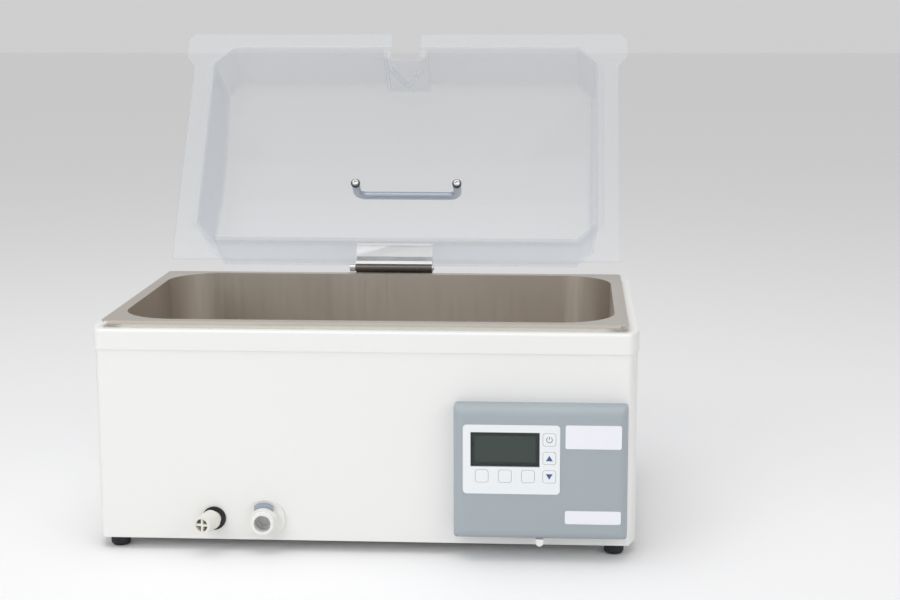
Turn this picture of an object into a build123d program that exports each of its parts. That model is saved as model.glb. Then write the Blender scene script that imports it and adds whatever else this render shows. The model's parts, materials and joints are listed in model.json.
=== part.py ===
from build123d import *
import os
from math import atan2, cos, degrees, radians, sin

# Heated water bath with a hinged clear cover, modelled standing on the bench with the cover open.
# X runs to the right, Y to the back and Z up; the origin is on the bench under the tank's centre.

os.makedirs("parts", exist_ok=True)

# Driving dimensions, in millimetres and degrees
sheet = 1.2                  # painted steel sheet of the case
running_gap = 0.3            # between pieces that move on each other
slip = 0.1                   # between fixed pieces that slide together

# Housing
cover_width = 552.0
cover_depth = 347.0
case_height = 216.0          # underside of the base to the flat of the top cover
cover_skirt = 20.5
cover_proud = 1.5            # the skirt stands this far outside the case
cover_bend = 3.0
corner_inset = 8.0           # the front corners are cut back this much at each side
corner_depth = 24.0
corner_bend = 6.0
return_width = 14.0
base_sheet = 1.5
base_flange = 12.0
base_flange_gap = 10.0       # the base's flanges stop short of the corners
base_vent_y = 40.0

# Feet
foot_height = 12.0
foot_diameter = 20.0
foot_edge = 4.0
foot_x = 253.0
foot_y = 155.0
foot_recess = 6.0
foot_screw_diameter = 4.0
foot_screw_head = 8.0
foot_screw_head_height = 2.4
foot_screw_end = 4.0         # thread above the base

# Tank
rim_width = 530.0
rim_depth = 325.0
opening_width = 505.0
opening_depth = 300.0
opening_corner = 57.0
tank_sheet = 1.0
tank_depth = 150.0
tank_draft = 1.5
tank_floor_radius = 20.0
rim_rise = 7.1               # top of the rim above the cover
rim_corner = 5.0
lip_drop = 3.2
lip_relief = 8.0             # the lip stops short of each corner
seal_setback = 1.0
seal_width = 4.0
seal_corner = 24.0
felt = 9.0
felt_gap = 0.3
felt_top_gap = 14.0

# Heating and sensing under the tank
mat_x = 20.0
mat_y = 12.0
mat_width = 400.0
mat_depth = 180.0
mat_thickness = 2.0
mat_corner = 10.0
terminal_block = (30.0, 18.0, 5.0)
terminal_corner = 3.0
terminal_inset = 16.0
sensor_x = 40.0
sensor_y = 116.0
sensor_block = (34.0, 12.0, 9.0)
probe_diameter = 4.0
probe_length = 46.0
cutout_x = 120.0
cutout_diameter = 16.0
cutout_height = 9.0
cutout_ear = (24.0, 8.0, 1.0)
cutout_blade = (0.8, 6.0, 8.0)
cutout_blade_pitch = 8.0

# Drain
drain_x = -100.0
drain_z = 22.0               # above the underside of the case
drain_y = -96.0              # tank outlet
outlet_outer = 16.0
outlet_bore = 12.0
outlet_collar = 28.0
outlet_collar_sheet = 2.0
outlet_length = 24.0
hose_outer = 20.0
hose_bend = 21.0
hose_top_gap = 4.0           # tank floor to the end of the hose
hose_tail_gap = 1.0
socket_disc = 41.5
socket_disc_thickness = 4.0
socket_hub = 28.0
socket_hub_length = 8.0
socket_barrel = 24.0
socket_reach = 19.0          # end of the barrel in front of the case
socket_bore = 17.0
socket_bore_depth = 16.0
socket_seat_bore = 13.5
socket_seat = 2.0
socket_shank = 26.0
socket_shank_length = 22.0
socket_chamber = 18.0
socket_tail = 18.0
socket_wall = 3.0
socket_edge = 1.0
nut_flats = 34.0
nut_thickness = 7.0
poppet_diameter = 16.6
poppet_head = 3.0
poppet_stem = 6.0
poppet_travel = 3.0
poppet_edge = 0.8
spring_wire = 1.2
spring_diameter = 14.0
spring_turns = 4.0
latch_thickness = 2.5
latch_width = 19.0
latch_reach = 18.2           # top of the thumb tab above the bore's axis
latch_travel = 1.5
latch_foot = 10.0
latch_window = 17.8
latch_floor = 1.2            # hub left under the latch slot
latch_setback = 2.0          # from the disc to the latch slot
bow_length = 14.0
bow_thickness = 0.35
bow_gap = 0.05

# Parked drain nozzle
park_x = -152.0
park_tilt = 16.0
grommet_diameter = 24.0
grommet_lip = 2.5
grommet_waist = 20.0
grommet_bore = 16.0
grommet_edge = 1.0
spigot_diameter = 15.4
spigot_length = 18.0
nozzle_start = 6.4
nozzle_diameter = 20.0
nozzle_face = 19.0
nozzle_length = 22.0
nozzle_bore = 13.0
nozzle_web = 2.2
nozzle_web_depth = 4.0
nozzle_web_recess = 1.0

# Control box
box_left = 92.5
box_width = 172.5
box_bottom = 11.5            # above the underside of the case
box_height = 135.0
box_reach = 24.0
box_wall = 2.5
box_front_wall = 3.5
box_top_radius = 10.0
box_side_radius = 3.0
box_opening_margin = 25.0    # the wrap's cut-out behind the box is this much smaller
box_opening_corner = 6.0
keypad_x = 150.2
keypad_z = 93.9
keypad_width = 96.0
keypad_height = 70.0
keypad_corner = 4.0
keypad_thickness = 2.8
keypad_proud = 0.8
window_x = 143.9
window_z = 103.9
window_width = 68.0
window_height = 34.6
window_thickness = 2.0
window_recess = 0.3
module_rim = 1.0
key_size = 12.5
key_corner = 2.5
key_travel = 0.5
key_proud = 0.3
key_flange = 14.0
key_flange_thickness = 1.0
key_stem = 5.0
key_row = 77.0
key_pitch = 18.7
key_column = 187.6
soft_key_x = 121.0
soft_key_pitch = 22.8
switch_size = 6.0
switch_height = 3.0
board_width = 150.0
board_height = 112.0
board_thickness = 1.6
board_depth = 13.0           # face of the box to the front of the board
board_drop = 2.0
board_part_height = 7.0
relay_size = (32.0, 26.0)
relay_at = (44.0, 22.0)      # from the middle of the box
triac_size = (20.0, 28.0)
triac_at = (44.0, -24.0)
plug_strip_size = (60.0, 9.0)
plug_strip_at = (-30.0, -42.0)
post_diameter = 9.0
post_inset = 11.0
plate_x = 230.9
plate_width = 55.2
plate_thickness = 0.8
plate_corner = 2.0
upper_plate_z = 117.3
upper_plate_height = 23.8
lower_plate_z = 35.7
lower_plate_height = 13.4
catch_x = 178.4
catch_width = 7.6
catch_drop = 7.2
catch_depth = 5.0
catch_setback = 3.0

# Mains inlet and rear vents
inlet_x = 200.0
inlet_z = 48.0
inlet_body = (28.0, 20.0)
inlet_flange = (50.0, 25.0)
inlet_flange_thickness = 2.5
inlet_depth = 22.0
inlet_recess = (24.2, 16.2)
inlet_recess_depth = 16.0
inlet_pitch = 40.0
inlet_corner = 5.0
inlet_pin = (2.0, 4.0)
inlet_pins = ((-7.0, -2.0), (0.0, 2.0), (7.0, -2.0))
inlet_pin_setback = 4.0      # the pins stop this far inside the mouth
slot_length = 36.0
slot_width = 4.0
slot_columns = 7
slot_rows = 3
slot_pitch_x = 56.0
slot_pitch_z = 14.0
slot_z = 120.0

# Clear cover, called the lid below
lid_width = 528.0
lid_depth = 320.0
lid_sheet = 3.0
lid_seat_gap = 0.3
lid_open = 126.0             # opening angle from shut to the stop
ear_reach = 11.0
ear_length = 35.0
ear_slope = 13.0
ear_corner = 7.0
dome_side_margin = 15.5
dome_end_margin = 19.0
dome_corner = 29.0
drip_side = 12.0
drip_end = 7.5
drip_drop = 5.0
drip_lip = 2.0               # width of the drip edge's flat foot
roof_room = 10.0             # blocks are built this much taller than the roof, then cut to it
corner_share = 0.6           # how far a cut corner moves out for each unit its walls do
dome_height = 92.0           # underside of the flange to the underside of the ridge
dome_eaves = 72.0            # the same at the front and back walls
dome_ridge = 60.0            # width of the flat along the top
dome_draft = 6.0
dome_radius = 7.0
channel_width = 49.0
channel_depth = 5.0
pocket_width = 36.0
pocket_depth = 10.0
pocket_shoulder = 20.0
pocket_peak = 58.0

# Handle
handle_pitch = 128.0
handle_diameter = 10.0
handle_reach = 28.0          # lid to the middle of the grip
handle_bend = 11.0
handle_back = 4.0            # behind the lid's middle
handle_screw = 5.0
handle_screw_head = 9.0
handle_screw_length = 11.0
handle_screw_clear = 1.0
washer_diameter = 11.5
washer_thickness = 1.2

# Hinge
hinge_y = 169.0
hinge_rise = 11.5            # axis above the flat of the cover
hinge_width = 90.0
hinge_sheet = 1.5
knuckle_radius = 3.5
pin_diameter = 4.0
knuckles = 5
pad_thickness = 3.0
pad_overhang = 4.0
pad_depth = 23.0
pad_corner = 1.0
pad_floor = 0.4              # left under the screw holes
leaf_setback = 1.0
leaf_screw_x = 32.0
leaf_screw_y = 23.0          # in front of the axis when shut
plate_screw_x = 35.0
hinge_screw = 4.0
hinge_screw_head = 7.5
hinge_screw_height = 2.2
hinge_nut_height = 3.2
hinge_screw_end = 1.0
stop_length = 13.0
pin_head = 9.0
pin_head_length = 6.5
pin_ring = 1.2
pin_ring_lip = 0.5

# Fasteners of the rear panel
rear_screw = 3.0
rear_screw_head = 6.0
rear_screw_height = 2.0
rear_screw_edge = 0.8
rear_screw_length = 6.0
box_screw_clear = 2.0
rear_screw_levels = (28.0, 104.0, 180.0)

# Places worked out from the sizes above
case_bottom = foot_height
cover_top = case_bottom + case_height
cover_bottom = cover_top - cover_skirt
wrap_top = cover_top - cover_bend
rim_top = cover_top + rim_rise
flange_bottom = rim_top - tank_sheet
tank_floor = rim_top - tank_depth
cover_front = -cover_depth / 2
cover_back = cover_depth / 2
case_front = cover_front + cover_proud
case_back = cover_back - cover_proud
case_side = cover_width / 2 - cover_proud
inner_side = case_side - sheet
inner_front = case_front + sheet
panel_inside = case_back - sheet
return_inside = panel_inside - sheet

drain_level = case_bottom + drain_z
box_x = box_left + box_width / 2
box_z = case_bottom + box_bottom + box_height / 2
box_face = case_front - box_reach
keypad_level = case_bottom + keypad_z
window_level = case_bottom + window_z
board_front = box_face + board_depth
pocket_floor = box_face + keypad_thickness - keypad_proud

hinge_z = cover_top + hinge_rise
seat_level = rim_top + lid_seat_gap - hinge_z          # underside of the lid from the hinge axis
lid_middle = -hinge_y                                  # the lid's centre from the hinge axis
lid_tilt = radians(lid_open)
lid_normal = (0, sin(lid_tilt), cos(lid_tilt))
lid_forward = (0, -cos(lid_tilt), sin(lid_tilt))
lid_plane = Plane(origin=(0, hinge_y, hinge_z), x_dir=(1, 0, 0), z_dir=lid_normal)


def front_plane(y):
    """A plane at depth y that faces the front, with Z up in it."""
    return Plane(origin=(0, y, 0), x_dir=(1, 0, 0), z_dir=(0, -1, 0))


def rear_plane(y):
    """A plane at depth y that faces the back, with Z up in it and X to the left."""
    return Plane(origin=(0, y, 0), x_dir=(-1, 0, 0), z_dir=(0, 1, 0))


def case_plan(inset):
    """Plan of the housing with its angled front corners, moved in by inset."""
    side = cover_width / 2
    corners = [
        (-side, cover_back),
        (-side, cover_front + corner_depth),
        (-side + corner_inset, cover_front),
        (side - corner_inset, cover_front),
        (side, cover_front + corner_depth),
        (side, cover_back),
    ]
    with BuildSketch() as plan:
        with BuildLine():
            Polyline(*corners, close=True)
        make_face()
        fillet(plan.vertices().group_by(Axis.Y)[0], radius=corner_bend)
        if inset > 0:
            offset(amount=-inset, kind=Kind.INTERSECTION, mode=Mode.REPLACE)
    return plan.sketch


# Top cover: a pressed lid for the housing, with the tank's cut-out
with BuildPart() as cover_inside:
    with BuildSketch(Plane.XY.offset(cover_bottom)):
        add(case_plan(sheet))
    extrude(amount=cover_skirt - sheet)
    fillet(cover_inside.faces().sort_by(Axis.Z)[-1].edges(), radius=cover_bend - sheet)

seal_width_inside = rim_width - 2 * (tank_sheet + seal_setback + seal_width)
seal_depth_inside = rim_depth - 2 * (tank_sheet + seal_setback + seal_width)
hinge_screw_level = cover_bottom + cover_skirt / 2
bracket_screws_at = [(-plate_screw_x, hinge_screw_level), (plate_screw_x, hinge_screw_level)]

with BuildPart() as top_cover:
    with BuildSketch(Plane.XY.offset(cover_bottom)):
        add(case_plan(0))
    extrude(amount=cover_skirt)
    fillet(top_cover.faces().sort_by(Axis.Z)[-1].edges(), radius=cover_bend)
    add(cover_inside.part, mode=Mode.SUBTRACT)
    with BuildSketch(Plane.XY.offset(cover_top)):
        RectangleRounded(seal_width_inside, seal_depth_inside, seal_corner - seal_width)
    extrude(amount=-2 * sheet, mode=Mode.SUBTRACT)
    with BuildSketch(rear_plane(cover_back)):
        with Locations(*bracket_screws_at):
            Circle(hinge_screw / 2 + slip)
    extrude(amount=-2 * sheet, mode=Mode.SUBTRACT)
top_cover.part.label = "top_cover"
export_step(top_cover.part, "parts/top_cover.step")

# Case wrap: front and both sides in one bent sheet, with returns for the rear panel
box_posts = [
    (box_x + sx * (box_width / 2 - post_inset), box_z + sz * (box_height / 2 - post_inset))
    for sx in (-1, 1)
    for sz in (-1, 1)
]
rear_screw_x = inner_side - return_width / 2
rear_screws_at = [
    (sx * rear_screw_x, case_bottom + level) for sx in (-1, 1) for level in rear_screw_levels
]

with BuildPart() as case_wrap:
    with BuildSketch(Plane.XY.offset(case_bottom)):
        add(case_plan(cover_proud))
        add(case_plan(cover_proud + sheet), mode=Mode.SUBTRACT)
        with Locations((0, case_back)):
            Rectangle(2 * inner_side, 4 * sheet, mode=Mode.SUBTRACT)
        for side in (-1, 1):
            with Locations((side * (inner_side - return_width / 2), panel_inside - sheet / 2)):
                Rectangle(return_width, sheet)
    extrude(amount=wrap_top - case_bottom)
    with BuildSketch(front_plane(case_front)):
        with Locations((box_x, box_z)):
            RectangleRounded(
                box_width - 2 * box_opening_margin,
                box_height - 2 * box_opening_margin,
                box_opening_corner,
            )
        with Locations((drain_x, drain_level)):
            Circle(socket_shank / 2 + slip)
        with Locations((park_x, drain_level)):
            Circle(grommet_waist / 2)
        with Locations(*box_posts):
            Circle(rear_screw / 2 + slip)
    extrude(amount=-2 * sheet, mode=Mode.SUBTRACT)
    with BuildSketch(rear_plane(return_inside)):
        with Locations(*rear_screws_at):
            Circle(rear_screw / 2 + slip)
    extrude(amount=2 * sheet, mode=Mode.SUBTRACT)
case_wrap.part.label = "case_wrap"
export_step(case_wrap.part, "parts/case_wrap.step")

# Rear panel with vent slots and the mains cut-out
panel_width = 2 * (inner_side - slip)
with BuildPart() as rear_panel:
    with BuildSketch(rear_plane(panel_inside)):
        with Locations((0, (case_bottom + wrap_top) / 2)):
            Rectangle(panel_width, wrap_top - case_bottom)
        with Locations((0, case_bottom + slot_z)):
            with GridLocations(slot_pitch_x, slot_pitch_z, slot_columns, slot_rows):
                SlotOverall(slot_length, slot_width, mode=Mode.SUBTRACT)
        with Locations((-inlet_x, case_bottom + inlet_z)):
            Rectangle(inlet_body[0] + 2 * slip, inlet_body[1] + 2 * slip, mode=Mode.SUBTRACT)
            with GridLocations(inlet_pitch, 0, 2, 1):
                Circle(rear_screw / 2 + slip, mode=Mode.SUBTRACT)
        with Locations(*rear_screws_at):
            Circle(rear_screw / 2 + slip, mode=Mode.SUBTRACT)
        with Locations(*bracket_screws_at):
            Circle(hinge_screw / 2 + slip, mode=Mode.SUBTRACT)
    extrude(amount=sheet)
rear_panel.part.label = "rear_panel"
export_step(rear_panel.part, "parts/rear_panel.step")

# Base plate with its two side flanges
base_slip = cover_proud + sheet + slip
feet_at = [(sx * foot_x, sy * foot_y) for sx in (-1, 1) for sy in (-1, 1)]
with BuildPart() as base_plate:
    with BuildSketch(Plane.XY.offset(case_bottom)):
        add(case_plan(base_slip))
        with Locations((0, cover_back)):
            Rectangle(cover_width, 2 * (cover_back - return_inside + slip), mode=Mode.SUBTRACT)
    extrude(amount=base_sheet)
    with BuildSketch(Plane.XY.offset(case_bottom + base_sheet)):
        for side in (-1, 1):
            with Locations((side * (inner_side - slip - base_sheet / 2), 0)):
                Rectangle(base_sheet, cover_depth - 2 * (corner_depth + base_flange_gap))
    extrude(amount=base_flange)
    with BuildSketch(Plane.XY.offset(case_bottom)):
        with Locations(*feet_at):
            Circle(foot_screw_diameter / 2 + slip)
        with Locations((0, base_vent_y)):
            with GridLocations(slot_pitch_x, slot_pitch_z, slot_columns, slot_rows):
                SlotOverall(slot_length, slot_width)
    extrude(amount=base_sheet, mode=Mode.SUBTRACT)
base_plate.part.label = "base_plate"
export_step(base_plate.part, "parts/base_plate.step")

# Rubber feet, each a turned block with a recess for its screw
foot_names = ("foot_front_left", "foot_rear_left", "foot_front_right", "foot_rear_right")
for name, (x, y) in zip(foot_names, feet_at):
    with BuildPart() as foot:
        with BuildSketch(Plane.XY):
            with Locations((x, y)):
                Circle(foot_diameter / 2)
        extrude(amount=foot_height)
        fillet(foot.faces().sort_by(Axis.Z)[0].edges(), radius=foot_edge)
        with BuildSketch(Plane.XY):
            with Locations((x, y)):
                Circle(foot_screw_head / 2 + slip)
        extrude(amount=foot_recess, mode=Mode.SUBTRACT)
        with BuildSketch(Plane.XY):
            with Locations((x, y)):
                Circle(foot_screw_diameter / 2 + slip)
        extrude(amount=foot_height, mode=Mode.SUBTRACT)
    foot.part.label = name
    export_step(foot.part, f"parts/{name}.step")

with BuildPart() as foot_screws:
    with BuildSketch(Plane.XY.offset(foot_recess)):
        with Locations(*feet_at):
            Circle(foot_screw_head / 2)
    extrude(amount=-foot_screw_head_height)
    with BuildSketch(Plane.XY.offset(foot_recess)):
        with Locations(*feet_at):
            Circle(foot_screw_diameter / 2)
    extrude(amount=foot_height - foot_recess + base_sheet + foot_screw_end)
foot_screws.part.label = "foot_screws"
export_step(foot_screws.part, "parts/foot_screws.step")

# Screws that hold the rear panel to the returns of the wrap
with BuildPart() as rear_screws:
    with BuildSketch(rear_plane(case_back)):
        with Locations(*rear_screws_at):
            Circle(rear_screw_head / 2)
    extrude(amount=rear_screw_height)
    heads = rear_screws.faces().sort_by(Axis.Y)[-len(rear_screws_at):]
    fillet(heads.edges(), radius=rear_screw_edge)
    with BuildSketch(rear_plane(case_back)):
        with Locations(*rear_screws_at):
            Circle(rear_screw / 2)
    extrude(amount=-rear_screw_length)
rear_screws.part.label = "rear_screws"
export_step(rear_screws.part, "parts/rear_screws.step")


# Tank: a deep-drawn steel pan whose rim lies on the seal
def pan_block(grow):
    """The pan's inside, moved out by grow on every wall and below the floor."""
    down = Plane(origin=(0, 0, rim_top), x_dir=(1, 0, 0), z_dir=(0, 0, -1))
    with BuildPart() as block:
        with BuildSketch(down):
            RectangleRounded(opening_width + 2 * grow, opening_depth + 2 * grow, opening_corner + grow)
        extrude(amount=tank_depth + grow, taper=tank_draft)
        fillet(block.faces().sort_by(Axis.Z)[0].edges(), radius=tank_floor_radius + grow)
    return block.part


with BuildPart() as tank:
    with BuildSketch(Plane.XY.offset(flange_bottom)):
        RectangleRounded(rim_width, rim_depth, rim_corner)
    extrude(amount=tank_sheet)
    add(pan_block(tank_sheet))
    with BuildSketch(Plane.XY.offset(flange_bottom)):
        for side in (-1, 1):
            with Locations((0, side * (rim_depth - tank_sheet) / 2)):
                Rectangle(rim_width - 2 * lip_relief, tank_sheet)
            with Locations((side * (rim_width - tank_sheet) / 2, 0)):
                Rectangle(tank_sheet, rim_depth - 2 * lip_relief)
    extrude(amount=-(lip_drop - tank_sheet))
    add(pan_block(0), mode=Mode.SUBTRACT)
    with BuildSketch(Plane.XY.offset(tank_floor)):
        with Locations((drain_x, drain_y)):
            Circle(outlet_bore / 2)
    extrude(amount=-2 * tank_sheet, mode=Mode.SUBTRACT)
tank.part.label = "tank"
export_step(tank.part, "parts/tank.step")

# Seal between the rim and the top cover
with BuildPart() as tank_seal:
    with BuildSketch(Plane.XY.offset(cover_top)):
        RectangleRounded(seal_width_inside + 2 * seal_width, seal_depth_inside + 2 * seal_width, seal_corner)
        RectangleRounded(seal_width_inside, seal_depth_inside, seal_corner - seal_width, mode=Mode.SUBTRACT)
    extrude(amount=flange_bottom - cover_top)
tank_seal.part.label = "tank_seal"
export_step(tank_seal.part, "parts/tank_seal.step")

# Felt jacket round the tank walls
jacket_bottom = tank_floor + tank_floor_radius
with BuildPart() as tank_jacket:
    add(pan_block(tank_sheet + felt_gap + felt))
    add(pan_block(tank_sheet + felt_gap), mode=Mode.SUBTRACT)
    with BuildSketch(Plane.XY.offset(jacket_bottom)):
        Rectangle(cover_width, cover_depth)
    extrude(amount=flange_bottom - felt_top_gap - jacket_bottom, mode=Mode.INTERSECT)
tank_jacket.part.label = "tank_jacket"
export_step(tank_jacket.part, "parts/tank_jacket.step")

# Heater mat under the tank floor
floor_under = tank_floor - tank_sheet
with BuildPart() as heater_mat:
    with BuildSketch(Plane.XY.offset(floor_under)):
        with Locations((mat_x, mat_y)):
            RectangleRounded(mat_width, mat_depth, mat_corner)
    extrude(amount=-mat_thickness)
    with BuildSketch(Plane.XY.offset(floor_under - mat_thickness)):
        with Locations((mat_x, mat_y + mat_depth / 2 - terminal_inset)):
            RectangleRounded(terminal_block[0], terminal_block[1], terminal_corner)
    extrude(amount=-terminal_block[2])
heater_mat.part.label = "heater_mat"
export_step(heater_mat.part, "parts/heater_mat.step")

# Temperature probe in its clamp block
with BuildPart() as temperature_probe:
    with BuildSketch(Plane.XY.offset(floor_under)):
        with Locations((sensor_x, sensor_y)):
            Rectangle(sensor_block[0], sensor_block[1])
    extrude(amount=-sensor_block[2])
    with BuildSketch(Plane.YZ.offset(sensor_x - probe_length / 2)):
        with Locations((sensor_y, floor_under - sensor_block[2] / 2)):
            Circle(probe_diameter / 2)
    extrude(amount=probe_length)
temperature_probe.part.label = "temperature_probe"
export_step(temperature_probe.part, "parts/temperature_probe.step")

# Disc thermostat that cuts the heater off
with BuildPart() as overheat_cutout:
    with BuildSketch(Plane.XY.offset(floor_under)):
        with Locations((cutout_x, sensor_y)):
            SlotOverall(cutout_ear[0], cutout_ear[1])
            Circle(cutout_diameter / 2)
    extrude(amount=-cutout_ear[2])
    with BuildSketch(Plane.XY.offset(floor_under - cutout_ear[2])):
        with Locations((cutout_x, sensor_y)):
            Circle(cutout_diameter / 2)
    extrude(amount=-cutout_height)
    with BuildSketch(Plane.XY.offset(floor_under - cutout_ear[2] - cutout_height)):
        with Locations((cutout_x, sensor_y)):
            with GridLocations(cutout_blade_pitch, 0, 2, 1):
                Rectangle(cutout_blade[0], cutout_blade[1])
    extrude(amount=-cutout_blade[2])
overheat_cutout.part.label = "overheat_cutout"
export_step(overheat_cutout.part, "parts/overheat_cutout.step")

# Tank outlet: a tube welded under the floor
with BuildPart() as tank_outlet:
    with BuildSketch(Plane.XY.offset(floor_under)):
        with Locations((drain_x, drain_y)):
            Circle(outlet_collar / 2)
            Circle(outlet_bore / 2, mode=Mode.SUBTRACT)
    extrude(amount=-outlet_collar_sheet)
    with BuildSketch(Plane.XY.offset(floor_under - outlet_collar_sheet)):
        with Locations((drain_x, drain_y)):
            Circle(outlet_outer / 2)
            Circle(outlet_bore / 2, mode=Mode.SUBTRACT)
    extrude(amount=-outlet_length)
tank_outlet.part.label = "tank_outlet"
export_step(tank_outlet.part, "parts/tank_outlet.step")

# Drain hose from the outlet down and forward to the socket's tail
shank_end = case_front + socket_shank_length
tail_end = shank_end + socket_tail
hose_start = floor_under - hose_top_gap
hose_path = [
    (drain_x, drain_y, hose_start),
    (drain_x, drain_y, drain_level),
    (drain_x, shank_end + hose_tail_gap, drain_level),
]


def hose_solid(diameter):
    """A round solid along the hose's route."""
    with BuildPart() as rod:
        with BuildLine() as route:
            FilletPolyline(*hose_path, radius=hose_bend)
        with BuildSketch(Plane(origin=hose_path[0], x_dir=(1, 0, 0), z_dir=(0, 0, -1))):
            Circle(diameter / 2)
        sweep(path=route.line)
    return rod.part


with BuildPart() as drain_hose:
    add(hose_solid(hose_outer))
    add(hose_solid(outlet_outer), mode=Mode.SUBTRACT)
drain_hose.part.label = "drain_hose"
export_step(drain_hose.part, "parts/drain_hose.step")

# Drain socket, turned about its bore
disc_front = case_front - socket_disc_thickness
hub_front = disc_front - socket_hub_length
socket_front = case_front - socket_reach
seat_front = socket_front + socket_bore_depth
seat_back = seat_front + socket_seat
chamber_back = shank_end - socket_wall
slot_front = disc_front - latch_setback - latch_thickness - 2 * running_gap
slot_back = disc_front - latch_setback
slot_bottom = drain_level - socket_hub / 2 + latch_floor
socket_profile = [
    (0, socket_front),
    (socket_barrel / 2, socket_front),
    (socket_barrel / 2, hub_front),
    (socket_hub / 2, hub_front),
    (socket_hub / 2, disc_front),
    (socket_disc / 2, disc_front),
    (socket_disc / 2, case_front),
    (socket_shank / 2, case_front),
    (socket_shank / 2, shank_end),
    (outlet_outer / 2, shank_end),
    (outlet_outer / 2, tail_end),
    (0, tail_end),
]
bore_profile = [
    (0, socket_front - 1),
    (socket_bore / 2, socket_front - 1),
    (socket_bore / 2, seat_front),
    (socket_seat_bore / 2, seat_front),
    (socket_seat_bore / 2, seat_back),
    (socket_chamber / 2, seat_back),
    (socket_chamber / 2, chamber_back),
    (outlet_bore / 2, chamber_back),
    (outlet_bore / 2, tail_end + 1),
    (0, tail_end + 1),
]
socket_plane = Plane(origin=(drain_x, 0, drain_level), x_dir=(1, 0, 0), z_dir=(0, 0, 1))
socket_axis = Axis((drain_x, 0, drain_level), (0, 1, 0))

with BuildPart() as drain_socket:
    with BuildSketch(socket_plane):
        with BuildLine():
            Polyline(*socket_profile, close=True)
        make_face()
    revolve(axis=socket_axis)
    chamfer(drain_socket.edges().filter_by(GeomType.CIRCLE).group_by(Axis.Y)[0], length=socket_edge)
    with BuildSketch(socket_plane):
        with BuildLine():
            Polyline(*bore_profile, close=True)
        make_face()
    revolve(axis=socket_axis, mode=Mode.SUBTRACT)
    with BuildSketch(front_plane(slot_back)):
        with Locations((drain_x, (slot_bottom + drain_level + latch_reach) / 2)):
            Rectangle(latch_width + 2 * running_gap, drain_level + latch_reach - slot_bottom)
    extrude(amount=slot_back - slot_front, mode=Mode.SUBTRACT)
drain_socket.part.label = "drain_socket"
export_step(drain_socket.part, "parts/drain_socket.step")

# Nut behind the panel
with BuildPart() as socket_nut:
    with BuildSketch(rear_plane(inner_front)):
        with Locations((-drain_x, drain_level)):
            RegularPolygon(nut_flats / 2, 6, major_radius=False)
            Circle(socket_shank / 2 + slip / 2, mode=Mode.SUBTRACT)
    extrude(amount=nut_thickness)
socket_nut.part.label = "socket_nut"
export_step(socket_nut.part, "parts/socket_nut.step")

# Valve poppet behind its seat, with the guide stem for the spring
poppet_front = seat_back + running_gap
with BuildPart() as drain_poppet:
    with BuildSketch(rear_plane(poppet_front)):
        with Locations((-drain_x, drain_level)):
            Circle(poppet_diameter / 2)
    extrude(amount=poppet_head)
    chamfer(drain_poppet.edges().group_by(Axis.Y)[0], length=poppet_edge)
    with BuildSketch(rear_plane(poppet_front + poppet_head)):
        with Locations((-drain_x, drain_level)):
            Circle(poppet_stem / 2)
    extrude(amount=chamber_back - poppet_front - poppet_head - poppet_travel - running_gap)
drain_poppet.part.label = "drain_poppet"
export_step(drain_poppet.part, "parts/drain_poppet.step")

# Compression spring between the poppet and the chamber's end
spring_start = poppet_front + poppet_head + spring_wire / 2 + slip
spring_end = chamber_back - spring_wire / 2 - slip
spring_radius = spring_diameter / 2 - spring_wire / 2
with BuildPart() as poppet_spring:
    with BuildLine() as coil:
        Helix(
            pitch=(spring_end - spring_start) / spring_turns,
            height=spring_end - spring_start,
            radius=spring_radius,
            center=(drain_x, spring_start, drain_level),
            direction=(0, 1, 0),
        )
    with BuildSketch(Plane(origin=coil.line @ 0, z_dir=coil.line % 0)):
        RegularPolygon(spring_wire / 2, 6)
    sweep(path=coil.line, is_frenet=True)
poppet_spring.part.label = "poppet_spring"
export_step(poppet_spring.part, "parts/poppet_spring.step")

# Thumb latch: a plate with a window round the bore, pressed down to let the nozzle go
latch_plane = front_plane(slot_back - running_gap)
latch_bottom = drain_level - latch_foot
with BuildPart() as drain_latch:
    with BuildSketch(latch_plane):
        with Locations((drain_x, drain_level)):
            Circle(latch_reach)
        with Locations((drain_x, latch_bottom + latch_reach)):
            Rectangle(latch_width, 2 * latch_reach, mode=Mode.INTERSECT)
        with Locations((drain_x, drain_level + latch_travel / 2)):
            SlotOverall(latch_window + latch_travel, latch_window, rotation=90, mode=Mode.SUBTRACT)
    extrude(amount=latch_thickness)
drain_latch.part.label = "drain_latch"
export_step(drain_latch.part, "parts/drain_latch.step")

# Bowed strip under the latch
bow_rise = latch_bottom - latch_travel - slot_bottom - running_gap
bow_foot = slot_bottom + bow_gap
with BuildPart() as latch_spring:
    with BuildSketch(latch_plane):
        with BuildLine():
            lower = ThreePointArc(
                (drain_x - bow_length / 2, bow_foot),
                (drain_x, slot_bottom + bow_rise - bow_thickness),
                (drain_x + bow_length / 2, bow_foot),
            )
            Line(lower @ 1, lower @ 1 + (0, bow_thickness))
            upper = ThreePointArc(
                (drain_x + bow_length / 2, bow_foot + bow_thickness),
                (drain_x, slot_bottom + bow_rise),
                (drain_x - bow_length / 2, bow_foot + bow_thickness),
            )
            Line(upper @ 1, lower @ 0)
        make_face()
    extrude(amount=latch_thickness)
latch_spring.part.label = "latch_spring"
export_step(latch_spring.part, "parts/latch_spring.step")

# Rubber grommet that parks the nozzle, its hole leaning as the nozzle does
nozzle_out = (-sin(radians(park_tilt)), -cos(radians(park_tilt)), 0)
park_point = (park_x, case_front, drain_level)
nozzle_plane = Plane(origin=park_point, x_dir=(0, 0, 1), z_dir=nozzle_out)
park_plane = front_plane(case_front)

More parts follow.
